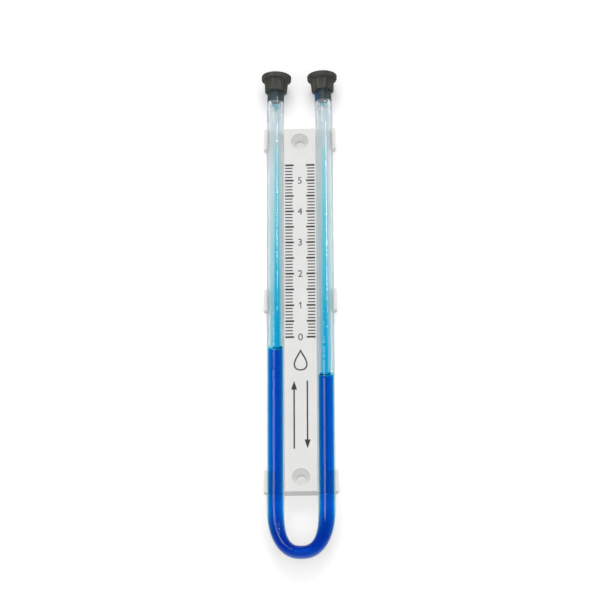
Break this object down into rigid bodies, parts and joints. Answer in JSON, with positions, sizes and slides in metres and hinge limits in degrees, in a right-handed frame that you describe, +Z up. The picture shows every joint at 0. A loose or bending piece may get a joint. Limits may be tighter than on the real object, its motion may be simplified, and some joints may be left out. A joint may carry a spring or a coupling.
{
  "type": "manometer",
  "caption": "Wall-mounted U-tube manometer: clear flexible tube of blue oil clipped to a narrow white scale plate with countersunk screw holes.",
  "frame": {"origin": "on the back plane of the scale plate, midway between the two screw holes", "axes": "+Z up along the tube's legs, +Y into the wall (the front faces -Y), +X to the right seen from the front"},
  "size_m": [0.0355, 0.0141, 0.2332],
  "materials": {
    "plate": "white moulded plastic with a fine matt skin",
    "clear_tube": "clear flexible vinyl, glossy",
    "oil": "transparent blue gauge oil",
    "rubber": "dark grey moulded rubber",
    "ink": "printed black ink"
  },
  "bodies": {
    "root": {"scale_plate": "plate", "tube": "clear_tube", "indicator_fluid": "oil", "left_cap": "rubber", "right_cap": "rubber", "scale_graduations": "ink"}
  },
  "joints": []
}
